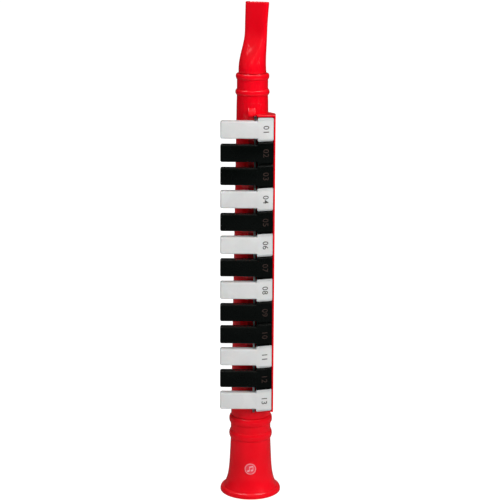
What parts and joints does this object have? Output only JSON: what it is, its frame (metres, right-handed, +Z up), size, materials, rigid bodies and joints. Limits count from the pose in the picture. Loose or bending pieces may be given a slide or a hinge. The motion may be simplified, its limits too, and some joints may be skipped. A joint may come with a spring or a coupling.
{
  "type": "toy melodica",
  "caption": "Clarinet-shaped toy melodica: flat mouthpiece, tapered tube, flared bell, and T-shaped sprung side keys that lift pads off a sealed reed chamber.",
  "frame": {"origin": "centre of the bell rim, on the surface that the instrument stands on", "axes": "+Z up the instrument's axis from the bell to the mouthpiece; the keys face -Y; +X is to the right of a person who looks at the keys"},
  "size_m": [0.0506, 0.0506, 0.41],
  "materials": {
    "red_plastic": "glossy moulded",
    "white_plastic": "glossy moulded",
    "black_plastic": "glossy moulded",
    "steel": "drawn wire",
    "brass": "rolled sheet",
    "aluminium": "rolled sheet",
    "rubber": "soft matte"
  },
  "bodies": {
    "body": {"body_front": "red_plastic", "body_back": "red_plastic", "barrel": "red_plastic", "bell": "red_plastic", "pivot_rod": "steel", "reed_plate": "aluminium", "reed_gasket": "rubber", "spring_01": "steel", "spring_02": "steel", "spring_03": "steel", "spring_04": "steel", "spring_05": "steel", "spring_06": "steel", "spring_07": "steel", "spring_08": "steel", "spring_09": "steel", "spring_10": "steel", "spring_11": "steel", "spring_12": "steel", "spring_13": "steel", "reed_01": "brass", "reed_02": "brass", "reed_03": "brass", "reed_04": "brass", "reed_05": "brass", "reed_06": "brass", "reed_07": "brass", "reed_08": "brass", "reed_09": "brass", "reed_10": "brass", "reed_11": "brass", "reed_12": "brass", "reed_13": "brass"},
    "mouthpiece": {"mouthpiece": "red_plastic"},
    "key_lever_01": {"key_01": "white_plastic", "pad_01": "rubber"},
    "key_lever_02": {"key_02": "black_plastic", "pad_02": "rubber"},
    "key_lever_03": {"key_03": "black_plastic", "pad_03": "rubber"},
    "key_lever_04": {"key_04": "white_plastic", "pad_04": "rubber"},
    "key_lever_05": {"key_05": "black_plastic", "pad_05": "rubber"},
    "key_lever_06": {"key_06": "white_plastic", "pad_06": "rubber"},
    "key_lever_07": {"key_07": "black_plastic", "pad_07": "rubber"},
    "key_lever_08": {"key_08": "white_plastic", "pad_08": "rubber"},
    "key_lever_09": {"key_09": "black_plastic", "pad_09": "rubber"},
    "key_lever_10": {"key_10": "black_plastic", "pad_10": "rubber"},
    "key_lever_11": {"key_11": "white_plastic", "pad_11": "rubber"},
    "key_lever_12": {"key_12": "black_plastic", "pad_12": "rubber"},
    "key_lever_13": {"key_13": "white_plastic", "pad_13": "rubber"}
  },
  "joints": [
    {"name": "mouthpiece_turn", "type": "hinge", "parent": "body", "child": "mouthpiece", "pos_m": [0, 0, 0.348], "axis": [0, 0, 1], "continuous": true},
    {"name": "key_press_01", "type": "hinge", "parent": "body", "child": "key_lever_01", "pos_m": [0.0024, -0.0203, 0.312], "axis": [0, 0, -1], "range_deg": [0, 6.5], "stiffness_Nm_per_rad": 0.026, "springref_deg": -8.59, "deforming": ["spring_01"]},
    {"name": "key_press_02", "type": "hinge", "parent": "body", "child": "key_lever_02", "pos_m": [0.0024, -0.0203, 0.2932], "axis": [0, 0, -1], "range_deg": [0, 6.5], "stiffness_Nm_per_rad": 0.026, "springref_deg": -8.59, "deforming": ["spring_02"]},
    {"name": "key_press_03", "type": "hinge", "parent": "body", "child": "key_lever_03", "pos_m": [0.0024, -0.0203, 0.2744], "axis": [0, 0, -1], "range_deg": [0, 6.5], "stiffness_Nm_per_rad": 0.026, "springref_deg": -8.59, "deforming": ["spring_03"]},
    {"name": "key_press_04", "type": "hinge", "parent": "body", "child": "key_lever_04", "pos_m": [0.0024, -0.0203, 0.2556], "axis": [0, 0, -1], "range_deg": [0, 6.5], "stiffness_Nm_per_rad": 0.026, "springref_deg": -8.59, "deforming": ["spring_04"]},
    {"name": "key_press_05", "type": "hinge", "parent": "body", "child": "key_lever_05", "pos_m": [0.0024, -0.0203, 0.2368], "axis": [0, 0, -1], "range_deg": [0, 6.5], "stiffness_Nm_per_rad": 0.026, "springref_deg": -8.59, "deforming": ["spring_05"]},
    {"name": "key_press_06", "type": "hinge", "parent": "body", "child": "key_lever_06", "pos_m": [0.0024, -0.0203, 0.218], "axis": [0, 0, -1], "range_deg": [0, 6.5], "stiffness_Nm_per_rad": 0.026, "springref_deg": -8.59, "deforming": ["spring_06"]},
    {"name": "key_press_07", "type": "hinge", "parent": "body", "child": "key_lever_07", "pos_m": [0.0024, -0.0203, 0.1992], "axis": [0, 0, -1], "range_deg": [0, 6.5], "stiffness_Nm_per_rad": 0.026, "springref_deg": -8.59, "deforming": ["spring_07"]},
    {"name": "key_press_08", "type": "hinge", "parent": "body", "child": "key_lever_08", "pos_m": [0.0024, -0.0203, 0.1804], "axis": [0, 0, -1], "range_deg": [0, 6.5], "stiffness_Nm_per_rad": 0.026, "springref_deg": -8.59, "deforming": ["spring_08"]},
    {"name": "key_press_09", "type": "hinge", "parent": "body", "child": "key_lever_09", "pos_m": [0.0024, -0.0203, 0.1616], "axis": [0, 0, -1], "range_deg": [0, 6.5], "stiffness_Nm_per_rad": 0.026, "springref_deg": -8.59, "deforming": ["spring_09"]},
    {"name": "key_press_10", "type": "hinge", "parent": "body", "child": "key_lever_10", "pos_m": [0.0024, -0.0203, 0.1428], "axis": [0, 0, -1], "range_deg": [0, 6.5], "stiffness_Nm_per_rad": 0.026, "springref_deg": -8.59, "deforming": ["spring_10"]},
    {"name": "key_press_11", "type": "hinge", "parent": "body", "child": "key_lever_11", "pos_m": [0.0024, -0.0203, 0.124], "axis": [0, 0, -1], "range_deg": [0, 6.5], "stiffness_Nm_per_rad": 0.026, "springref_deg": -8.59, "deforming": ["spring_11"]},
    {"name": "key_press_12", "type": "hinge", "parent": "body", "child": "key_lever_12", "pos_m": [0.0024, -0.0203, 0.1052], "axis": [0, 0, -1], "range_deg": [0, 6.5], "stiffness_Nm_per_rad": 0.026, "springref_deg": -8.59, "deforming": ["spring_12"]},
    {"name": "key_press_13", "type": "hinge", "parent": "body", "child": "key_lever_13", "pos_m": [0.0024, -0.0203, 0.0864], "axis": [0, 0, -1], "range_deg": [0, 6.5], "stiffness_Nm_per_rad": 0.026, "springref_deg": -8.59, "deforming": ["spring_13"]}
  ]
}
